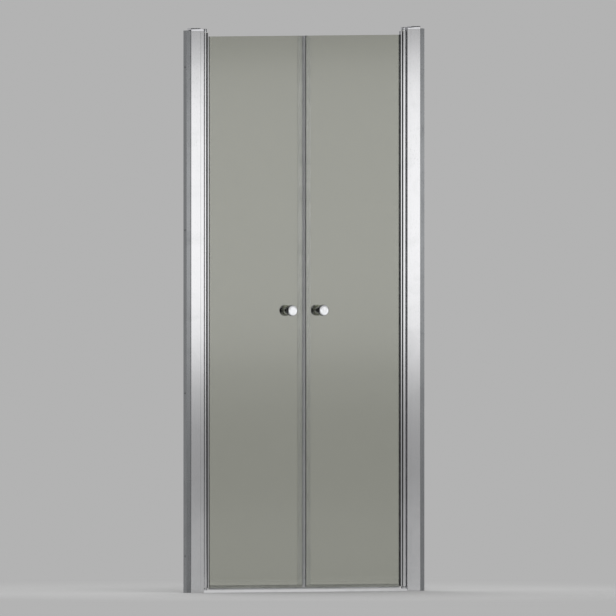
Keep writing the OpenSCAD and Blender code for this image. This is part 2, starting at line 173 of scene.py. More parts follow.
def waterSpots(s):  # rings left by dried drops
    tree, given, result = newGroup("waterSpots", [("Scale", "NodeSocketFloat", s["scale"]),
                                                  ("Cover", "NodeSocketFloat", s["cover"])], "Spots")
    place = put(tree, "ShaderNodeTexCoord")
    cells = put(tree, "ShaderNodeTexVoronoi", feature="F1")
    patches = put(tree, "ShaderNodeTexNoise", {"Scale": s["patchScale"], "Detail": s["patchDetail"]})
    wire(tree, (place.outputs["Object"], cells.inputs["Vector"]), (given["Scale"], cells.inputs["Scale"]),
         (place.outputs["Object"], patches.inputs["Vector"]))
    reach = cells.outputs["Distance"]
    ring = combine(tree, "MULTIPLY", remap(tree, reach, s["ringInner"], s["ringPeak"], 0, 1, smooth=True),
                   remap(tree, reach, s["ringPeak"], s["ringOuter"], 1, 0, smooth=True))
    where = combine(tree, "MULTIPLY", remap(tree, patches.outputs["Fac"], s["patchLow"], s["patchHigh"],
                                            0, 1, smooth=True), given["Cover"])
    wire(tree, (combine(tree, "MULTIPLY", ring, where), result["Spots"]))
    return tree


def smudges(s):  # wiped and handled places
    tree, given, result = newGroup("smudges", [("Scale", "NodeSocketFloat", s["scale"])], "Smudge")
    place = put(tree, "ShaderNodeTexCoord")
    cloud = put(tree, "ShaderNodeTexNoise", {"Detail": s["detail"], "Roughness": s["roughness"],
                                             "Distortion": s["distortion"]})
    wire(tree, (place.outputs["Object"], cloud.inputs["Vector"]), (given["Scale"], cloud.inputs["Scale"]),
         (remap(tree, cloud.outputs["Fac"], s["low"], s["high"], 0, 1, smooth=True), result["Smudge"]))
    return tree


def restingDust(s):  # dust and lime on surfaces that face up
    tree, given, result = newGroup("restingDust", [("Scale", "NodeSocketFloat", s["scale"])], "Dust")
    place = put(tree, "ShaderNodeTexCoord")
    facing = put(tree, "ShaderNodeNewGeometry")
    split = put(tree, "ShaderNodeSeparateXYZ")
    specks = put(tree, "ShaderNodeTexNoise", {"Detail": s["detail"], "Roughness": s["roughness"]})
    wire(tree, (facing.outputs["Normal"], split.inputs[0]),
         (place.outputs["Object"], specks.inputs["Vector"]), (given["Scale"], specks.inputs["Scale"]))
    upward = remap(tree, split.outputs["Z"], s["tiltLow"], s["tiltHigh"], 0, 1)
    grains = remap(tree, specks.outputs["Fac"], s["grainLow"], s["grainHigh"], s["thinnest"], 1)
    wire(tree, (combine(tree, "MULTIPLY", upward, grains), result["Dust"]))
    return tree


effects = {"lines": drawnLines(lineEffect), "spots": waterSpots(spotEffect),
           "smudge": smudges(smudgeEffect), "dust": restingDust(dustEffect)}


def effect(tree, name, **values):
    node = put(tree, "ShaderNodeGroup", node_tree=effects[name])
    for key, value in values.items():
        node.inputs[key].default_value = value
    return node.outputs[0]


# Material helpers
def newFinish(name, **values):
    material = bpy.data.materials.new(name)
    material.use_nodes = True
    shader = material.node_tree.nodes["Principled BSDF"]
    for key, value in values.items():
        shader.inputs[key.replace("_", " ")].default_value = value
    return material, material.node_tree, shader.inputs


def blendColour(tree, amount, first, second):
    node = put(tree, "ShaderNodeMix", data_type="RGBA")
    colours = [s for s in node.inputs if s.type == "RGBA"]
    for socket, colour in zip(colours, (first, second)):
        if isinstance(colour, tuple):
            socket.default_value = (*colour, 1)
        else:
            wire(tree, (colour, socket))
    wire(tree, (amount, node.inputs[0]))
    return [s for s in node.outputs if s.type == "RGBA"][0]


def ageSurface(tree, inputs, s, tint, wear, mostWear=1):  # colour by tint, roughness by wear
    wire(tree, (blendColour(tree, tint, s["colour"], s["worn"]), inputs["Base Color"]),
         (remap(tree, wear, 0, mostWear, s["roughLow"], s["roughHigh"]), inputs["Roughness"]))


def emboss(tree, inputs, height, depth):
    bump = put(tree, "ShaderNodeBump", {"Distance": depth})
    wire(tree, (height, bump.inputs["Height"]), (bump.outputs["Normal"], inputs["Normal"]))


# Extruded metal: posts, columns, sill and wall channels
brightAluminium = {"colour": (0.87, 0.87, 0.885), "worn": (0.74, 0.75, 0.755), "roughLow": 0.09,
                   "roughHigh": 0.17, "lineDepth": 0.000004}
# The wall channels' satin aluminium is darkened well below bare metal: painted shade for the gap between post
# and wall
shadedSatinAluminium = {"colour": (0.36, 0.37, 0.38), "worn": (0.28, 0.29, 0.30), "roughLow": 0.24,
                  "roughHigh": 0.40, "lineDepth": 0.00001}
lineStretch = {"upright": (900.0, 900.0, 5.0), "level": (5.0, 900.0, 900.0), "coarse": (700.0, 700.0, 8.0)}
extrusionWear = {"spotScale": 110.0, "spotCover": 0.7, "smudgeScale": 9.0, "smudgeShare": 0.35,
                 "dustShare": 0.5, "lineShare": 0.6, "mostWear": 1.4}
# The grooves beside the jaws get a near-black colour and a rougher finish: painted shade for the shadow that
# falls in them
jawGroove = {"across": 0.36156, "out": 0.0070, "radius": 0.0016, "margin": 0.00002, "soft": 0.00012,
             "paintedShade": (0.03, 0.03, 0.029), "roughness": 0.5}


def insideGroove(tree, s):  # 1 on the surface of the grooves beside the jaws, where shade is painted, 0 elsewhere
    axes = objectAxes(tree)
    aside = combine(tree, "SUBTRACT", combine(tree, "ABSOLUTE", axes["X"]), s["across"])
    out = combine(tree, "SUBTRACT", combine(tree, "ABSOLUTE", axes["Y"]), s["out"])
    reach = distance(tree, aside, out)
    return remap(tree, reach, s["radius"] + s["margin"], s["radius"] + s["soft"], 1, 0)


def extrudedMetal(name, s, along, groove=None):
    w = extrusionWear
    material, tree, inputs = newFinish(name, Metallic=1.0)
    lines = effect(tree, "lines", Stretch=lineStretch[along])
    spots = effect(tree, "spots", Scale=w["spotScale"], Cover=w["spotCover"])
    smudge = effect(tree, "smudge", Scale=w["smudgeScale"])
    worn = combine(tree, "ADD", scaled(tree, smudge, w["smudgeShare"]), spots)
    worn = combine(tree, "ADD", worn, scaled(tree, effect(tree, "dust"), w["dustShare"]))
    wear = combine(tree, "ADD", scaled(tree, lines, w["lineShare"]), worn)
    rough = remap(tree, wear, 0, w["mostWear"], s["roughLow"], s["roughHigh"])
    colour = blendColour(tree, worn, s["colour"], s["worn"])
    # painted shade: the grooves beside the jaws darkened to near black and made rougher
    if groove:
        inside = insideGroove(tree, groove)
        colour = blendColour(tree, inside, colour, groove["paintedShade"])
        rough = combine(tree, "MAXIMUM", rough, scaled(tree, inside, groove["roughness"]))
    wire(tree, (colour, inputs["Base Color"]), (rough, inputs["Roughness"]))
    emboss(tree, inputs, lines, s["lineDepth"])
    return material


# Turned metal: the knobs, with fine rings about each one's axis
turnedChrome = {"colour": (0.88, 0.89, 0.91), "worn": (0.70, 0.71, 0.72), "roughLow": 0.04, "roughHigh": 0.12,
                "ringPitch": 0.0006, "ringDepth": 0.0000015, "smudgeScale": 60.0, "smudgeShare": 0.6,
                "spotScale": 260.0, "spotCover": 0.5}


def turnedMetal(name, s):
    material, tree, inputs = newFinish(name, Metallic=1.0)
    axes = objectAxes(tree)
    aside = combine(tree, "SUBTRACT", combine(tree, "ABSOLUTE", axes["X"]), door["knobX"])
    above = combine(tree, "SUBTRACT", axes["Z"], door["knobZ"])
    rings = combine(tree, "SINE", scaled(tree, distance(tree, aside, above), 2 * math.pi / s["ringPitch"]))
    smudge = effect(tree, "smudge", Scale=s["smudgeScale"])
    worn = combine(tree, "ADD", scaled(tree, smudge, s["smudgeShare"]),
                   effect(tree, "spots", Scale=s["spotScale"], Cover=s["spotCover"]))
    ageSurface(tree, inputs, s, worn, worn)
    emboss(tree, inputs, rings, s["ringDepth"])
    return material


# Grained surfaces: cast brackets, plated caps and moulded bushes
castChrome = {"colour": (0.80, 0.81, 0.83), "worn": (0.60, 0.61, 0.62), "roughLow": 0.10, "roughHigh": 0.24,
              "grainScale": 700.0, "grainDetail": 3.0, "grainDepth": 0.00003, "smudgeScale": 40.0,
              "dustScale": 200.0}
platedCap = {**castChrome, "colour": (0.80, 0.80, 0.83), "worn": (0.64, 0.64, 0.65), "roughLow": 0.08,
             "roughHigh": 0.22, "grainDepth": 0.000008}
bushNylon = {"colour": (0.84, 0.84, 0.81), "worn": (0.66, 0.64, 0.58), "roughLow": 0.35, "roughHigh": 0.55,
             "grainScale": 900.0, "grainDetail": 2.0, "grainDepth": 0.00002, "smudgeScale": 30.0,
             "dustScale": 160.0}
grainSmudgeShare = 0.5


def grainedSurface(name, s, **values):
    material, tree, inputs = newFinish(name, **values)
    place = put(tree, "ShaderNodeTexCoord")
    grain = put(tree, "ShaderNodeTexNoise", {"Scale": s["grainScale"], "Detail": s["grainDetail"]})
    wire(tree, (place.outputs["Object"], grain.inputs["Vector"]))
    smudge = effect(tree, "smudge", Scale=s["smudgeScale"])
    worn = combine(tree, "ADD", scaled(tree, smudge, grainSmudgeShare),
                   effect(tree, "dust", Scale=s["dustScale"]))
    ageSurface(tree, inputs, s, worn, worn)
    emboss(tree, inputs, grain.outputs["Fac"], s["grainDepth"])
    return material


# Streaked surfaces: screws and pins, dark rubber and clear vinyl
screwSteel = {"colour": (0.62, 0.62, 0.63), "worn": (0.40, 0.40, 0.40), "roughLow": 0.22, "roughHigh": 0.38,
              "stretch": (60.0, 2400.0, 2400.0), "smudgeScale": 180.0, "smudgeShare": 1.0,
              "lineDepth": 0.000006}
darkRubber = {"colour": (0.045, 0.048, 0.047), "worn": (0.12, 0.125, 0.12), "roughLow": 0.42,
              "roughHigh": 0.72, "stretch": (500.0, 500.0, 12.0), "smudgeScale": 35.0, "smudgeShare": 0.7,
              "lineDepth": 0.00003}
clearVinyl = {"colour": (0.95, 0.955, 0.96), "worn": (0.86, 0.87, 0.87), "roughLow": 0.06,
              "roughHigh": 0.20, "stretch": (400.0, 400.0, 2.0), "smudgeScale": 28.0, "smudgeShare": 0.7,
              "lineDepth": 0.000003}


def streakedSurface(name, s, **values):
    material, tree, inputs = newFinish(name, **values)
    lines = effect(tree, "lines", Stretch=s["stretch"])
    smudge = effect(tree, "smudge", Scale=s["smudgeScale"])
    ageSurface(tree, inputs, s, scaled(tree, smudge, s["smudgeShare"]), combine(tree, "ADD", lines, smudge),
               mostWear=2)
    emboss(tree, inputs, lines, s["lineDepth"])
    return material


# Glass: grey-green faces, and dull, darker green ground edges
greyGlass = {"colour": (0.54, 0.55, 0.475), "edge": (0.06, 0.12, 0.09), "index": 1.85, "roughHigh": 0.05,
             "edgeRoughness": 0.25, "halfThickness": 0.003, "edgeFull": 0.00012, "edgeNone": 0.00004,
             "spotScale": 95.0, "spotCover": 0.5, "smudgeScale": 7.0, "smudgeShare": 0.25}


def toughenedGlass(name, s):
    material, tree, inputs = newFinish(name, IOR=s["index"], Transmission_Weight=1.0)
    depth = combine(tree, "ABSOLUTE", objectAxes(tree)["Y"])
    onEdge = remap(tree, depth, s["halfThickness"] - s["edgeFull"], s["halfThickness"] - s["edgeNone"], 1, 0)
    marks = combine(tree, "ADD", effect(tree, "spots", Scale=s["spotScale"], Cover=s["spotCover"]),
                    scaled(tree, effect(tree, "smudge", Scale=s["smudgeScale"]), s["smudgeShare"]))
    rough = combine(tree, "MAXIMUM", scaled(tree, marks, s["roughHigh"]),
                    scaled(tree, onEdge, s["edgeRoughness"]))
    wire(tree, (blendColour(tree, onEdge, s["colour"], s["edge"]), inputs["Base Color"]),
         (rough, inputs["Roughness"]))
    return material


finishes = {
    "post": extrudedMetal("bright_aluminium", brightAluminium, "upright"),
    # columns: the grooves beside the jaws darkened as painted shade
    "column": extrudedMetal("bright_column", brightAluminium, "upright", jawGroove),
    "sill": extrudedMetal("bright_sill", brightAluminium, "level"),
    # wall channels: satin aluminium darkened as painted shade
    "channel": extrudedMetal("satin_aluminium", shadedSatinAluminium, "coarse"),
    "bracket": grainedSurface("cast_chrome_finish", castChrome, Metallic=1.0),
    "knob": turnedMetal("turned_chrome", turnedChrome),
    "steel": streakedSurface("screw_steel", screwSteel, Metallic=1.0),
    "cap": grainedSurface("plated_cap_finish", platedCap, Metallic=1.0),
    "bush": grainedSurface("bush_nylon", bushNylon, IOR=1.49),
    "rubber": streakedSurface("dark_rubber", darkRubber, IOR=1.5),
    "vinyl": streakedSurface("clear_vinyl", clearVinyl, IOR=1.5, Transmission_Weight=1.0),
    "glass": toughenedGlass("grey_glass", greyGlass),
}
print("finishes ready:", len(finishes))

# CAD nodes that keep their shape
keptNodes = {"wall_channel": "channel", "post": "post", "top_pin": "steel", "bottom_pin": "steel",
             "column": "column", "top_bush": "bush", "bottom_bush": "bush", "glass": "glass",
             "knob_stud": "steel", "knob_washers": "vinyl"}


def dress(nodeName, finish):
    for materialSlot in nodes[nodeName].material_slots:
        materialSlot.material = finishes[finish]


for node, finish in keptNodes.items():
    for side, _ in sides:
        dress(f"{side}_{node}", finish)
dress("sill", "sill")
print("kept nodes dressed")


# Mesh helpers
def finished(obj, body, slot, finish, *replaced):
    obj.data.materials.clear()
    obj.data.materials.append(finishes[finish])
    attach(obj, body)
    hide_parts(*replaced)


def smoothed(mesh, degrees=35):
    mesh.shade_smooth()
    mesh.set_sharp_from_angle(angle=math.radians(degrees))
    return mesh


def meshFrom(form, name):
    mesh = bpy.data.meshes.new(name)
    form.to_mesh(mesh)
    form.free()
    return mesh


def appliedMesh(obj):  # what the modifiers make, as a plain mesh
    bpy.context.view_layer.update()
    made = bpy.data.meshes.new_from_object(obj.evaluated_get(bpy.context.evaluated_depsgraph_get()))
    obj.modifiers.clear()
    return made


def joined(name, parts):
    form = bmesh.new()
    for part in parts:
        form.from_mesh(part.data)
    mesh = meshFrom(form, name)
    for part in parts:
        bpy.data.objects.remove(part)
    return linked(bpy.data.objects.new(name, mesh))


# Geometry Nodes
def newShapeTree(name, inputs):
    tree = bpy.data.node_groups.new(name, "GeometryNodeTree")
    tree.interface.new_socket("Geometry", in_out="INPUT", socket_type="NodeSocketGeometry")
    for label, kind in inputs:
        tree.interface.new_socket(label, in_out="INPUT", socket_type=kind)
    tree.interface.new_socket("Geometry", in_out="OUTPUT", socket_type="NodeSocketGeometry")
    return tree, tree.nodes.new("NodeGroupInput").outputs, tree.nodes.new("NodeGroupOutput").inputs


def closeTree(tree, given, result, geometry):
    realize = put(tree, "GeometryNodeRealizeInstances")
    paint = put(tree, "GeometryNodeSetMaterial")
    wire(tree, (geometry, realize.inputs[0]), (realize.outputs[0], paint.inputs["Geometry"]),
         (given["Finish"], paint.inputs["Material"]), (paint.outputs[0], result[0]))


def stripTree():  # a section filled, drawn out to its length, closed, then turned into place
    tree, given, result = newShapeTree("stripTree", [
        ("Section", "NodeSocketObject"), ("Length", "NodeSocketFloat"), ("Turn", "NodeSocketVector"),
        ("Place", "NodeSocketVector"), ("Finish", "NodeSocketMaterial")])
    section = put(tree, "GeometryNodeObjectInfo")
    fill = put(tree, "GeometryNodeFillCurve")
    drawn = put(tree, "GeometryNodeExtrudeMesh", {"Individual": False}, mode="FACES")
    along = put(tree, "ShaderNodeCombineXYZ")
    closing = put(tree, "GeometryNodeFlipFaces")
    both = put(tree, "GeometryNodeJoinGeometry")
    weld = put(tree, "GeometryNodeMergeByDistance", {"Distance": weldGap})
    place = put(tree, "GeometryNodeTransform")
    wire(tree, (given["Section"], section.inputs["Object"]), (section.outputs["Geometry"], fill.inputs[0]),
         (given["Length"], along.inputs["Z"]), (along.outputs[0], drawn.inputs["Offset"]),
         (fill.outputs[0], drawn.inputs["Mesh"]), (fill.outputs[0], closing.inputs[0]),
         (drawn.outputs["Mesh"], both.inputs[0]), (closing.outputs[0], both.inputs[0]),
         (both.outputs[0], weld.inputs["Geometry"]), (weld.outputs[0], place.inputs["Geometry"]),
         (given["Turn"], place.inputs["Rotation"]), (given["Place"], place.inputs["Translation"]))
    closeTree(tree, given, result, place.outputs[0])
    return tree


def screwTree():  # one screw on every point, each stopped at its own angle
    tree, given, result = newShapeTree("screwTree", [
        ("Screw", "NodeSocketObject"), ("Turn", "NodeSocketVector"), ("Seed", "NodeSocketInt"),
        ("Finish", "NodeSocketMaterial")])
    screw = put(tree, "GeometryNodeObjectInfo")
    spread = put(tree, "GeometryNodeInstanceOnPoints")
    angle = put(tree, "FunctionNodeRandomValue", {2: 0.0, 3: 2 * math.pi}, data_type="FLOAT")
    about = put(tree, "ShaderNodeCombineXYZ")
    spin = put(tree, "GeometryNodeRotateInstances", {"Local Space": True})
    wire(tree, (given["Geometry"], spread.inputs["Points"]), (given["Screw"], screw.inputs["Object"]),
         (screw.outputs["Geometry"], spread.inputs["Instance"]), (given["Turn"], spread.inputs["Rotation"]),
         (given["Seed"], angle.inputs["Seed"]), (angle.outputs[1], about.inputs["Z"]),
         (spread.outputs[0], spin.inputs["Instances"]), (about.outputs[0], spin.inputs["Rotation"]))
    closeTree(tree, given, result, spin.outputs[0])
    return tree


def runTree(name, tree, mesh, **values):
    holder = linked(bpy.data.objects.new(name, mesh))
    modifier = holder.modifiers.new("shape", "NODES")
    modifier.node_group = tree
    for item in tree.interface.items_tree:
        if item.in_out == "INPUT" and item.name in values:
            modifier[item.identifier] = values[item.name]
    holder.update_tag()
    holder.data = appliedMesh(holder)
    holder.data.name = name
    return holder


# Drawn strips. Their sections are in millimetres, for the left leaf, and side 1 mirrors them
def arc(x, y, radius, start, end, steps):
    return [(x + radius * math.cos(math.radians(start + (end - start) * i / steps)),
             y + radius * math.sin(math.radians(start + (end - start) * i / steps)))
            for i in range(steps + 1)]


def sectionCurve(name, loops, side, shiftX):
    curve = bpy.data.curves.new(name, "CURVE")
    curve.dimensions = "2D"
    curve.fill_mode = "NONE"
    for loop in loops:
        spline = curve.splines.new("POLY")
        spline.points.add(len(loop) - 1)
        spline.use_cyclic_u = True
        for point, (x, y) in zip(spline.points, loop):
            point.co = (-side * x / 1000 + shiftX, y / 1000, 0, 1)
    return linked(bpy.data.objects.new(name, curve))


strips = stripTree()
screws = screwTree()


def strip(name, loops, side, shiftX, length, place, turn=(0, 0, 0)):
    section = sectionCurve(name + "_section", loops, side, shiftX)
    made = runTree(name, strips, bpy.data.meshes.new(name), Section=section, Length=length,
                   Turn=turn, Place=place, Finish=finishes["rubber"])
    bpy.data.objects.remove(section)
    smoothed(made.data)
    return made


def uprightStrip(name, loops, side, across, nodeName):  # as long as its CAD node
    low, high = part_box(nodeName)
    return strip(name, loops, side, side * across, high.z - low.z, (0, 0, low.z))


# Glazing gaskets: folded round the glass in the jaw, with a soft rounded lip on each side
gasketShape = {"slot": 6.0, "mouth": 12.8, "end": 17.2, "inside": 4.28, "lip": 5.2, "glass": 3.0,
               "pocket": 7.3, "clear": 0.1, "bead": 0.7, "crease": ((1.9, 0), (2.2, -0.35), (2.5, -0.1)),
               "tip": 1.3, "tipDrop": 1.4, "chamfer": 0.25}


def gasketSection(s):
    start = s["mouth"] + s["clear"]
    upper = [(s["slot"], s["inside"]), (start, s["inside"])]
    upper += arc(start + s["bead"], s["lip"] - s["bead"], s["bead"], 180, 90, 6)
    upper += [(s["mouth"] + x, s["lip"] + y) for x, y in s["crease"]]
    upper += arc(s["end"] - s["tip"], s["lip"] - s["tipDrop"], s["tip"], 90, 0, 8)
    upper += [(s["end"], s["glass"] + s["chamfer"]), (s["end"] - s["chamfer"], s["glass"]),
              (s["pocket"], s["glass"])]
    return [upper + [(x, -y) for x, y in reversed(upper)]]


for side, sign in sides:
    gasket = uprightStrip(f"{side}_gasket", gasketSection(gasketShape), sign, door["axisX"],
                          f"{side}_glazing_gasket")
    finished(gasket, f"{side}_leaf", "dark_seal", "rubber", f"{side}_glazing_gasket")

# Post seals: a thin base in the cove with three wiping ribs
postSealShape = {"outer": 10.2, "base": 9.85, "rib": 9.42, "halfAngle": 25.0, "ribs": 3,
                 "profile": ((0.08, "base"), (0.35, "base"), (0.45, "rib"), (0.55, "rib"), (0.65, "base"),
                             (0.92, "base"))}


def postSealSection(s):
    inner = []
    span = 2 * s["halfAngle"] / s["ribs"]
    for i in range(s["ribs"]):
        start = 180 - s["halfAngle"] + i * span
        for share, radius in s["profile"]:
            turn = math.radians(start + share * span)
            inner.append((s[radius] * math.cos(turn), s[radius] * math.sin(turn)))
    outer = arc(0, 0, s["outer"], 180 + s["halfAngle"], 180 - s["halfAngle"], 16)
    return [outer + inner]


postSeals = joined("post_seals", [
    uprightStrip(f"{side}_wiper", postSealSection(postSealShape), sign, door["axisX"], "left_post_seal")
    for side, sign in sides])
smoothed(postSeals.data)
finished(postSeals, "frame", "dark_seal", "rubber", "left_post_seal", "right_post_seal")

# Meeting seals: two tapered legs on the glass and a hollow bulb
meetingShape = {"leg": 18.0, "inner": 3.08, "outer": 4.1, "taper": 5.0, "tip": 0.25, "tipShare": 0.6,
                "tipLength": 0.1, "heel": 0.1, "shoulder": 0.4, "corner": 0.7, "web": 1.1, "bulbX": 2.4,
                "bulbR": 3.4, "wall": 0.9, "seam": 4}


def meetingSection(s):
    touch = math.degrees(math.acos((s["web"] - s["bulbX"]) / s["bulbR"]))
    top = [(s["heel"], s["inner"]), (-s["leg"], s["inner"]),
           (-s["leg"], s["inner"] + s["tip"] * s["tipShare"]),
           (-s["leg"] + s["tipLength"], s["inner"] + s["tip"]), (-s["leg"] + s["taper"], s["outer"]),
           (s["shoulder"], s["outer"])]
    top += arc(s["shoulder"], s["outer"] - s["corner"], s["corner"], 80, 0, 4)
    half = top + arc(s["bulbX"], 0, s["bulbR"], touch, 0, 14)
    outline = half + [(x, -y) for x, y in reversed(half[:-1])]
    inside = touch - s["seam"]
    hollow = arc(s["bulbX"], 0, s["bulbR"] - s["wall"], -inside, inside, 24)
    return [outline, hollow]


for side, sign in sides:
    seal = uprightStrip(f"{side}_edge_seal", meetingSection(meetingShape), sign, door["glassEdge"],
                        f"{side}_meeting_seal")
    finished(seal, f"{side}_leaf", "clear_seal", "vinyl", f"{side}_meeting_seal")

# Sweeps: legs on the bottom edge, two curved drip lips and a blade over the sill
sweepShape = {"inner": 3.08, "outer": 4.1, "clear": 0.1, "wall": 1.0, "lip": 6.7, "blade": 0.5,
              "bladeTaper": 0.9}


def sweepSection(s, glassLow, low, high):  # down the blade, round the lip's edge, up the leg
    base = glassLow - s["clear"] - s["wall"]
    lip, outer = s["lip"], s["outer"]
    half = [(s["blade"], low + 0.3), (s["blade"] * s["bladeTaper"], base - 0.2), (s["inner"] - 0.4, base),
            (outer + 0.1, base - 0.9), (lip - 0.9, low + 0.5), (lip - 0.35, low + 0.35), (lip, low + 0.7),
            (lip - 0.25, low + 1.15), (outer + 0.75, base - 0.35), (outer, base + 0.6)]
    half += arc((s["inner"] + outer) / 2, high - 0.5, (outer - s["inner"]) / 2, 0, 180, 6)
    half += [(s["inner"], glassLow - s["clear"])]
    return [[(0, low)] + half + [(-x, y) for x, y in reversed(half)]]


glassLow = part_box("left_glass")[0].z * 1000
for side, _ in sides:
    low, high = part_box(f"{side}_sweep")
    sweep = strip(f"{side}_bottom_seal", sweepSection(sweepShape, glassLow, low.z * 1000, high.z * 1000),
                  -1, 0, high.x - low.x, (low.x, 0, 0), (math.pi / 2, 0, math.pi / 2))
    finished(sweep, f"{side}_leaf", "clear_seal", "vinyl", f"{side}_sweep")
print("seals drawn")


# Turned shapes: rings of radius and height in millimetres, closed where the radius is 0
def ringsToMesh(form, rings, steps):
    rows = []
    for radius, height in rings:
        if radius == 0:
            rows.append([form.verts.new((0, 0, height / 1000))])
        else:
            rows.append([form.verts.new((radius / 1000 * math.cos(2 * math.pi * i / steps),
                                         radius / 1000 * math.sin(2 * math.pi * i / steps), height / 1000))
                         for i in range(steps)])
    for lower, upper in zip(rows, rows[1:]):
        for i in range(steps):
            j = (i + 1) % steps
            corners = list(dict.fromkeys([lower[i % len(lower)], lower[j % len(lower)],
                                          upper[j % len(upper)], upper[i % len(upper)]]))
            if len(corners) > 2:
                form.faces.new(corners)


# Knobs: flat face with a fine step, rounded rim, fine groove, flared neck and a stepped foot, bored for
# the stud
knobShape = {"foot": 10.5, "footHeight": 2.5, "footEdge": 0.4, "footShoulder": 0.8, "neck": 8.5,
             "fillet": 0.5, "flare": 5.0, "back": 15.0, "backEdge": 0.6, "head": 18.0, "reach": 30.0,
             "groove": ((0, 2.0), (0.25, 2.2), (0.25, 2.6), (0, 2.8)), "rim": 3.5,
             "step": ((0.6, 0.02), (1.1, 0.18)), "dish": 0.03, "dishRings": (0.85, 0.7, 0.5, 0.3, 0.15, 0),
             "bore": 3.02, "boreDepth": 11.0, "steps": 128, "smoothAngle": 40}


def knobProfile(s):
    foot, neck, back, head, rim, reach = [s[k] for k in ("foot", "neck", "back", "head", "rim", "reach")]
    edge, shoulder, fillet, flare = [s[k] for k in ("footEdge", "footShoulder", "fillet", "flare")]
    rings = [(0, s["boreDepth"]), (s["bore"], s["boreDepth"]), (s["bore"], 0), (foot - edge, 0)]
    rings += arc(foot - edge, edge, edge, -60, 0, 3)
    rings += arc(foot - shoulder, s["footHeight"] - shoulder, shoulder, 0, 90, 6)
    rings += [(neck + fillet, s["footHeight"])]
    rings += arc(neck + fillet, s["footHeight"] + fillet, fillet, 270, 180, 5)[1:]
    rings += arc(neck + flare, back - flare, flare, 180, 90, 14)
    edge = s["backEdge"]
    rings += [(head - edge, back)] + arc(head - edge, back + edge, edge, -90, 0, 5)[1:]
    rings += [(head - inward, back + up) for inward, up in s["groove"]]
    rings += arc(head - rim, reach - rim, rim, 0, 90, 12)
    rings += [(head - rim - inward, reach - down) for inward, down in s["step"]]
    inward, down = s["step"][-1]
    rings += [(share * (head - rim - inward), reach - down - s["dish"] * (1 - share ** 2))
              for share in s["dishRings"]]
    return rings


def makeKnob(side, sign, face, outward):
    form = bmesh.new()
    ringsToMesh(form, knobProfile(knobShape), knobShape["steps"])
    low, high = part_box(f"{side}_{face}_knob")
    start = high.y if outward < 0 else low.y
    for vert in form.verts:
        x, y, z = vert.co
        vert.co = (sign * door["knobX"] + x, start + outward * z, door["knobZ"] + y)
    bmesh.ops.recalc_face_normals(form, faces=form.faces)
    mesh = smoothed(meshFrom(form, f"{side}_{face}_pull"), knobShape["smoothAngle"])
    knob = linked(bpy.data.objects.new(mesh.name, mesh))
    finished(knob, f"{side}_leaf", "knob_chrome", "knob", f"{side}_{face}_knob")


for side, sign in sides:
    makeKnob(side, sign, "outer", -1)
    makeKnob(side, sign, "inner", 1)
print("knobs turned")

# Screws: domed pan heads with a tapered cross recess and a threaded shank
screwShape = {"head": 3.8, "headHeight": 2.4, "brim": 0.15, "domeRings": 9, "domeBend": 2.4, "neck": 0.3,
              "shank": 2.0, "root": 1.55, "tipShare": 0.4, "pitch": 1.4, "unthreaded": 0.6,
              "thread": (("root", 0.35), ("shank", 0.75), ("shank", 0.85)),
              "recess": 2.0, "recessWidth": 0.5, "recessDepth": 1.3, "recessFloor": (0.55, 0.7),
              "recessMouth": (1.15, 1.1), "cutAbove": 0.5, "steps": 40, "smoothAngle": 30}


def crossOutline(reach, width):
    outline, quarter = [], [(reach, -width), (reach, width), (width, width)]
    for _ in range(4):
        outline += quarter
        quarter = [(-y, x) for x, y in quarter]
    return outline


def screwRings(s, length):
    rings = [(0, -length), (s["root"] * s["tipShare"], -length)]
    for i in range(int((length - s["unthreaded"]) / s["pitch"])):
        start = -length + i * s["pitch"]
        rings += [(s[radius], start + share * s["pitch"]) for radius, share in s["thread"]]
    head, brim, domeHeight = s["head"], s["brim"], s["headHeight"] - s["brim"]
    rings += [(s["root"], -s["neck"]), (s["root"], 0), (head - brim, 0), (head, brim)]
    for i in range(1, s["domeRings"]):
        height = brim + domeHeight * math.sin(math.pi / 2 * i / s["domeRings"])
        rings.append((head * math.sqrt(1 - ((height - brim) / domeHeight) ** s["domeBend"]), height))
    return rings + [(0, brim + domeHeight)]


def recessCutter(s):
    form = bmesh.new()
    levels = ((s["headHeight"] - s["recessDepth"], s["recessFloor"]),
              (s["headHeight"] + s["cutAbove"], s["recessMouth"]))
    floor, top = [[form.verts.new((x / 1000, y / 1000, z / 1000))
                   for x, y in crossOutline(s["recess"] * reach, s["recessWidth"] * width)]
                  for z, (reach, width) in levels]
    form.faces.new(list(reversed(floor)))
    form.faces.new(top)
    for i in range(len(floor)):
        form.faces.new((floor[i - 1], floor[i], top[i], top[i - 1]))
    return linked(bpy.data.objects.new("recess_cutter", meshFrom(form, "recess_cutter")))


def makeScrew(s, length):
    form = bmesh.new()
    ringsToMesh(form, screwRings(s, length), s["steps"])
    bmesh.ops.recalc_face_normals(form, faces=form.faces)
    blank = linked(bpy.data.objects.new("screw_blank", meshFrom(form, "screw_blank")))
    cutter = recessCutter(s)
    cut = blank.modifiers.new("recess", "BOOLEAN")
    cut.operation, cut.solver, cut.object = "DIFFERENCE", "EXACT", cutter
    blank.data = smoothed(appliedMesh(blank), s["smoothAngle"])
    bpy.data.objects.remove(cutter)
    return blank


# Screws of one node stand apart in height, and each is placed in the middle of its CAD solid
screwSets = {"bracket_screws": {"count": 4, "length": 12.0, "seed": 3},
             "post_screws": {"count": 3, "length": 8.0, "seed": 8}}
screwGap = 0.0015


def screwPlaces(nodeName, count, headBack):
    low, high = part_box(nodeName)
    heights = sorted(v.co.z for v in nodes[nodeName].data.vertices)
    groups = [[heights[0]]]
    for z in heights[1:]:
        if z - groups[-1][-1] > screwGap:
            groups.append([])
        groups[-1].append(z)
    assert len(groups) == count, (nodeName, len(groups))
    return [((low.x + high.x) / 2, headBack, (zs[0] + zs[-1]) / 2) for zs in groups]


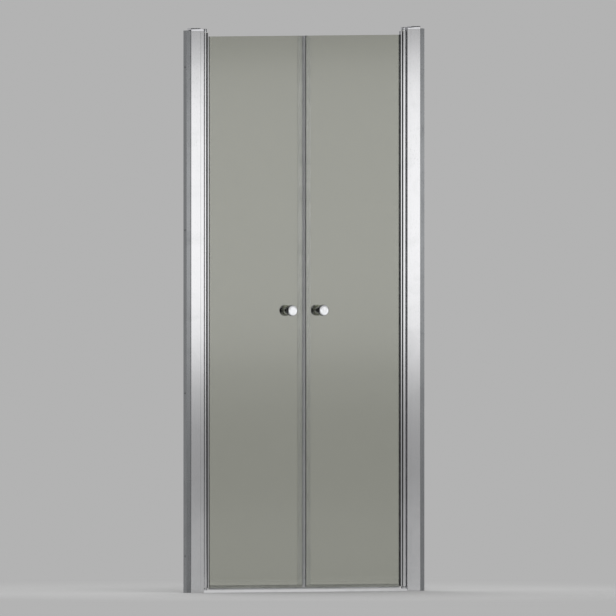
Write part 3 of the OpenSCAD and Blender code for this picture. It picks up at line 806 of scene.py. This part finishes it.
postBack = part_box("left_post")[1].y
screwParts = []
for kind, s in screwSets.items():
    blank = makeScrew(screwShape, s["length"])
    places = [p for side, _ in sides for p in screwPlaces(f"{side}_{kind}", s["count"], postBack)]
    points = bpy.data.meshes.new(kind + "_places")
    points.from_pydata(places, [], [])
    screwParts.append(runTree(kind + "_made", screws, points, Screw=blank, Turn=(-math.pi / 2, 0, 0),
                              Seed=s["seed"], Finish=finishes["steel"]))
    bpy.data.objects.remove(blank)
frameScrews = joined("frame_screws", screwParts)
smoothed(frameScrews.data, screwShape["smoothAngle"])
finished(frameScrews, "frame", "steel", "steel", "left_bracket_screws", "right_bracket_screws",
         "left_post_screws", "right_post_screws")
print("screws set")

# Caps and brackets: the CAD form with its edges eased. Each has its slot, its finish and its bevel's width
easedNodes = {"top_cap": ("cap_chrome", "cap", 0.0005), "top_bracket": ("cast_chrome", "bracket", 0.0004),
              "bottom_bracket": ("cast_chrome", "bracket", 0.0004)}
easing = {"flatAngle": 0.5, "bevelAngle": 40, "segments": 3}


def eased(name, nodeName, width, s):
    source = nodes[nodeName].data
    form = bmesh.new()
    verts = [form.verts.new(v.co) for v in source.vertices]
    for polygon in source.polygons:
        form.faces.new([verts[i] for i in polygon.vertices])
    bmesh.ops.remove_doubles(form, verts=form.verts, dist=weldGap)
    bmesh.ops.dissolve_limit(form, angle_limit=math.radians(s["flatAngle"]), verts=form.verts,
                             edges=form.edges)
    bmesh.ops.recalc_face_normals(form, faces=form.faces)
    piece = linked(bpy.data.objects.new(name, meshFrom(form, name)))
    bevel = piece.modifiers.new("edges", "BEVEL")
    bevel.width, bevel.segments, bevel.limit_method = width, s["segments"], "ANGLE"
    bevel.angle_limit = math.radians(s["bevelAngle"])
    bevel.use_clamp_overlap = True
    piece.data = smoothed(appliedMesh(piece))
    return piece


for node, (slot, finish, width) in easedNodes.items():
    for side, _ in sides:
        piece = eased(f"{side}_{node}_eased", f"{side}_{node}", width, easing)
        finished(piece, "frame", slot, finish, f"{side}_{node}")
print("caps and brackets eased")

# Studio: pale floor and world, lamps for plain light, and a tall soft box with dark cards beside, above
# and behind it that only reflections see. Metres, with ends and corners given in X and Y
studio = {"pale": 0.45, "high": 3.3, "darkTone": 0.012}

world = bpy.data.worlds.new("studio")
world.use_nodes = True
world.cycles.sampling_method = "NONE"
scene.world = world
sky = world.node_tree.nodes["Background"]
sky.inputs["Color"].default_value = (1, 1, 1, 1)
sky.inputs["Strength"].default_value = studio["pale"]


def shaderMix(tree, amount, first, second):
    mix = put(tree, "ShaderNodeMixShader")
    wire(tree, (amount, mix.inputs[0]), (first, mix.inputs[1]), (second, mix.inputs[2]),
         (mix.outputs[0], tree.nodes["Material Output"].inputs["Surface"]))


def reflectedOnly(name, strength, *depths):  # glows where a reflection sees it, clear to all else
    material = bpy.data.materials.new(name)
    material.use_nodes = True
    tree = material.node_tree
    tree.nodes.remove(tree.nodes["Principled BSDF"])
    glow = put(tree, "ShaderNodeEmission", {"Strength": strength})
    clear = put(tree, "ShaderNodeBsdfTransparent")
    path = put(tree, "ShaderNodeLightPath")
    seen = 1.0
    for depth in depths:
        seen = combine(tree, "MINIMUM", path.outputs[depth], seen)
    shaderMix(tree, seen, clear.outputs[0], glow.outputs[0])
    return material, tree, glow


def stageMesh(name, corners, material, hidden=True):
    mesh = bpy.data.meshes.new(name)
    mesh.from_pydata(corners, [], [list(range(len(corners)))])
    mesh.materials.append(material)
    piece = linked(bpy.data.objects.new(name, mesh))
    piece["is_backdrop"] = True
    if hidden:
        piece.visible_camera = piece.visible_diffuse = piece.visible_shadow = False


def uprightCard(name, ends, material):
    (x1, y1), (x2, y2) = ends
    high = studio["high"]
    stageMesh(name, [(x1, y1, 0), (x1, y1, high), (x2, y2, high), (x2, y2, 0)], material)


# Floor: painted near the door, the plain backdrop tone further off
paintedFloor = {"tone": 0.56, "roughness": 0.9, "specular": 0.2, "fade": (0.8, 2.2), "radius": 6.0,
                "corners": 96}


def makeFloor(s):
    material, tree, inputs = newFinish("floor_paint", Roughness=s["roughness"])
    inputs["Base Color"].default_value = (s["tone"], s["tone"], s["tone"], 1)
    inputs["Specular IOR Level"].default_value = s["specular"]
    place = put(tree, "ShaderNodeTexCoord")
    away = put(tree, "ShaderNodeVectorMath", operation="LENGTH")
    glow = put(tree, "ShaderNodeEmission", {"Strength": studio["pale"]})
    wire(tree, (place.outputs["Object"], away.inputs[0]))
    shaderMix(tree, remap(tree, away.outputs["Value"], *s["fade"], 0, 1, smooth=True),
              tree.nodes["Principled BSDF"].outputs[0], glow.outputs[0])
    edge = arc(0, 0, s["radius"], 0, 360, s["corners"])[:-1]
    stageMesh("floor", [(x, y, 0) for x, y in edge], material, hidden=False)


makeFloor(paintedFloor)

# Soft box: brightest at half height. Its tones are pairs of height and strength
softBox = {"ends": ((-0.47, -1.455), (4.5, -4.04)), "toneLimit": 2,
           "tones": ((0.0, 0.38), (0.10, 0.43), (0.366, 0.34), (0.628, 0.53), (0.956, 1.03), (1.28, 1.04),
                     (1.545, 0.98), (1.74, 0.56), (1.80, 0.45), (2.15, 0.5), (2.4, 0.62), (3.3, 0.62))}


def makeSoftBox(s):
    material, tree, glow = reflectedOnly("soft_box_glow", 1.0, "Glossy Depth")
    axes = objectAxes(tree)
    tones = put(tree, "ShaderNodeFloatCurve")
    tones.mapping.clip_max_y = s["toneLimit"]
    curve = tones.mapping.curves[0]
    stops = [(z / studio["high"], tone) for z, tone in s["tones"]]
    curve.points[0].location, curve.points[1].location = stops[0], stops[-1]
    for x, y in stops[1:-1]:
        curve.points.new(x, y)
    tones.mapping.update()
    wire(tree, (combine(tree, "DIVIDE", axes["Z"], studio["high"]), tones.inputs["Value"]),
         (tones.outputs[0], glow.inputs["Strength"]))
    uprightCard("soft_box", s["ends"], material)


makeSoftBox(softBox)

# Dark cards on both sides of it, paler near the floor, at the top and further from the box
sideCards = {"left": {"corners": ((-0.47, -1.455), (-2.0, -1.3), (-2.2, 0.4)), "fade": ("X", -0.75, -2.0)},
             "right": {"corners": ((4.5, -4.04), (3.4, 0.1)), "fade": ("Y", -0.5, 0.1)}}
cardTones = {"far": 0.24, "low": 0.12, "lowTop": 0.5, "high": 0.3, "highFrom": 2.0, "highTop": 2.4}


def makeSideCards(side, s, t):
    axis, start, end = s["fade"]
    material, tree, glow = reflectedOnly(side + "_felt", 1.0, "Glossy Depth")
    axes = objectAxes(tree)
    aside = remap(tree, axes[axis], start, end, studio["darkTone"], t["far"])
    below = remap(tree, axes["Z"], 0, t["lowTop"], t["low"], 0, smooth=True)
    above = remap(tree, axes["Z"], t["highFrom"], t["highTop"], 0, t["high"], smooth=True)
    tone = combine(tree, "ADD", combine(tree, "ADD", aside, below), above)
    wire(tree, (tone, glow.inputs["Strength"]))
    for index, ends in enumerate(zip(s["corners"], s["corners"][1:])):
        uprightCard(f"{side}_card_{index}", ends, material)


for side, s in sideCards.items():
    makeSideCards(side, s, cardTones)

# A dark card overhead, and one behind the leaves for the knobs' sides and the middle seals
darkCards = {"canopy": ((-1.2, -1.3), (1.2, -0.45)), "canopyHeight": 1.95, "back": ((-3.0, 0.8), (3.0, 0.8))}


def makeDarkCards(s):
    felt = reflectedOnly("dark_felt", studio["darkTone"], "Glossy Depth")[0]
    (x1, y1), (x2, y2) = s["canopy"]
    top = s["canopyHeight"]
    stageMesh("dark_canopy", [(x1, y1, top), (x2, y1, top), (x2, y2, top), (x1, y2, top)], felt)
    felt = reflectedOnly("back_card_felt", studio["darkTone"], "Glossy Depth", "Transmission Depth")[0]
    uprightCard("back_card", s["back"], felt)


makeDarkCards(darkCards)

# Lamps: place, size and power, all turned to the middle of the door
lamps = {"overhead": ((0.0, 0.0, 3.4), 3.0, 42.0), "fill": ((-0.9, -3.4, 3.1), 2.4, 42.0),
         "rear": ((0.6, 3.4, 3.1), 2.4, 42.0)}
lampAim = Vector((0, 0, 0.9))

for name, (place, size, power) in lamps.items():
    lamp = bpy.data.lights.new(name, "AREA")
    lamp.size, lamp.energy = size, power
    holder = linked(bpy.data.objects.new(name, lamp))
    holder.visible_camera = holder.visible_glossy = holder.visible_transmission = False
    holder.location = place
    holder.rotation_mode = "QUATERNION"
    holder.rotation_quaternion = (lampAim - Vector(place)).to_track_quat("-Z", "Y")
print("studio lit")

low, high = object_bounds()
